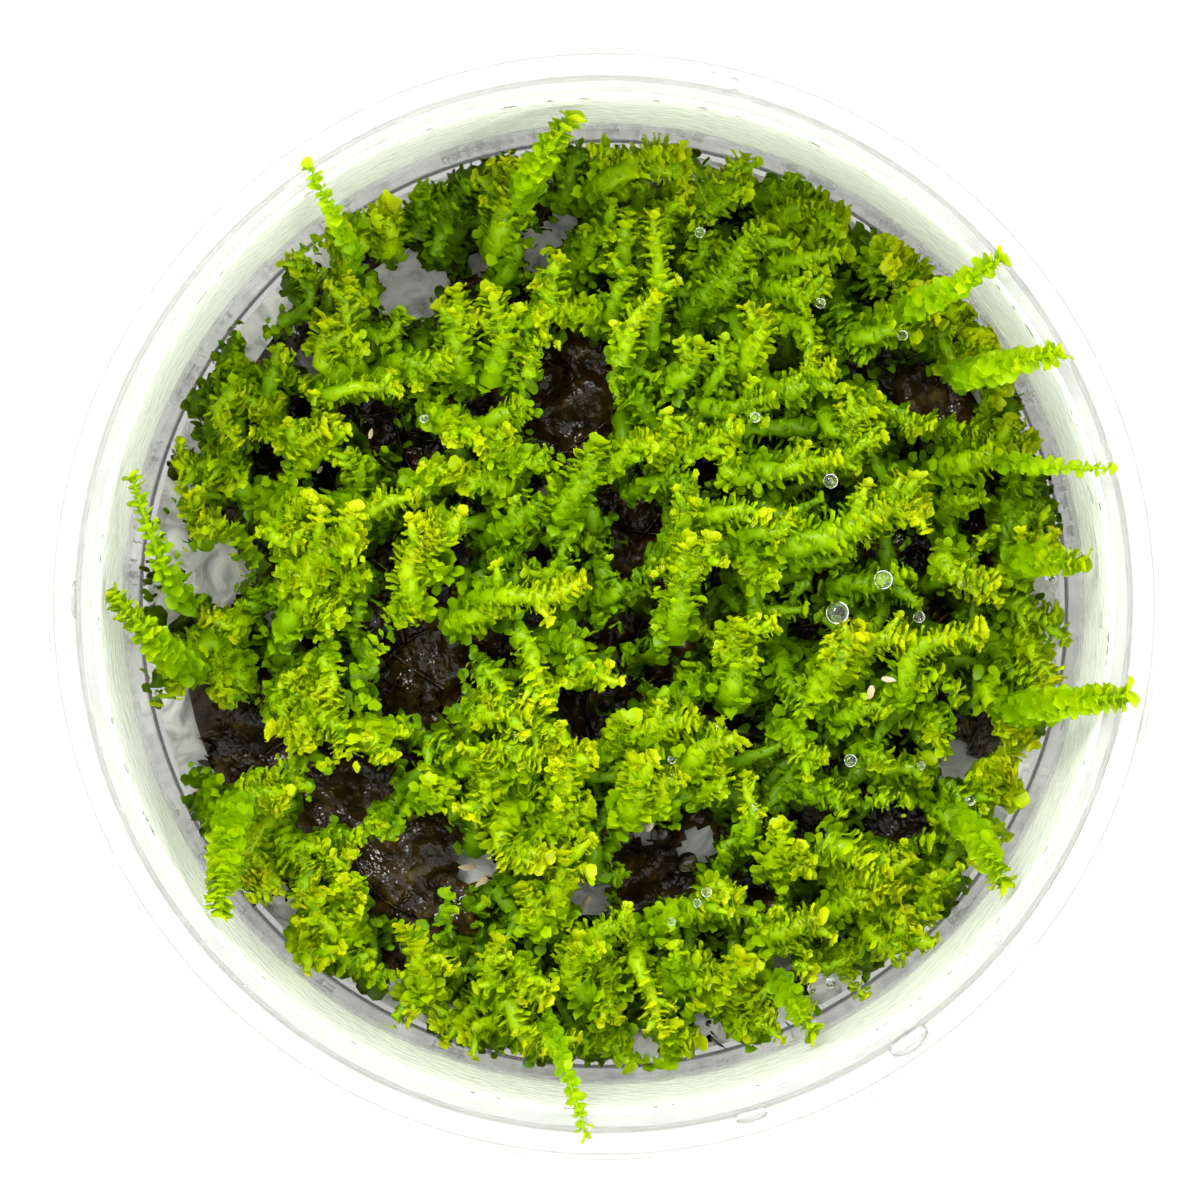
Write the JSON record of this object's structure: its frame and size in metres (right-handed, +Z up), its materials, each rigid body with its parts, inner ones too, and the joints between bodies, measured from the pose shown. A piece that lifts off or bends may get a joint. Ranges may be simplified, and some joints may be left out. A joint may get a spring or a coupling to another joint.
{
  "type": "moss clump",
  "caption": "Wet green aquarium moss clump growing in a round clear culture cup, with dark old growth and gel under the shoots and runners climbing the wall.",
  "frame": {"origin": "centre of the cup's foot, on the surface it stands on", "axes": "+Z up out of the cup's mouth, -Y the front, which is the lower edge when the clump is seen from above"},
  "size_m": [0.1, 0.1, 0.05],
  "materials": {
    "clear_plastic": "clear moulded polypropylene, gloss, misted with condensation inside",
    "nutrient_gel": "wet set gel, translucent grey, wrinkled",
    "dead_moss": "wet black-brown dead stems and leaves",
    "green_moss": "wet translucent living leaves, yellow-green to deep green",
    "young_moss": "wet translucent young leaves, bright yellow-green"
  },
  "bodies": {
    "root": {"cup": "clear_plastic", "gel_layer": "nutrient_gel", "old_growth_mat": "dead_moss", "tuft_01": "green_moss", "tuft_02": "green_moss", "tuft_03": "green_moss", "tuft_04": "green_moss", "tuft_05": "green_moss", "tuft_06": "green_moss", "tuft_07": "green_moss", "tuft_08": "green_moss", "tuft_09": "green_moss", "tuft_10": "green_moss", "tuft_11": "green_moss", "tuft_12": "green_moss", "tuft_13": "green_moss", "tuft_14": "green_moss", "tuft_15": "green_moss", "tuft_16": "green_moss", "tuft_17": "green_moss", "tuft_18": "green_moss", "tuft_19": "green_moss", "tuft_20": "green_moss", "runner_01": "young_moss", "runner_02": "young_moss", "runner_03": "young_moss", "runner_04": "young_moss", "runner_05": "young_moss", "runner_06": "young_moss", "runner_07": "young_moss", "runner_08": "young_moss", "runner_09": "young_moss", "runner_10": "young_moss", "runner_11": "young_moss", "runner_12": "young_moss", "runner_13": "young_moss"}
  },
  "joints": []
}
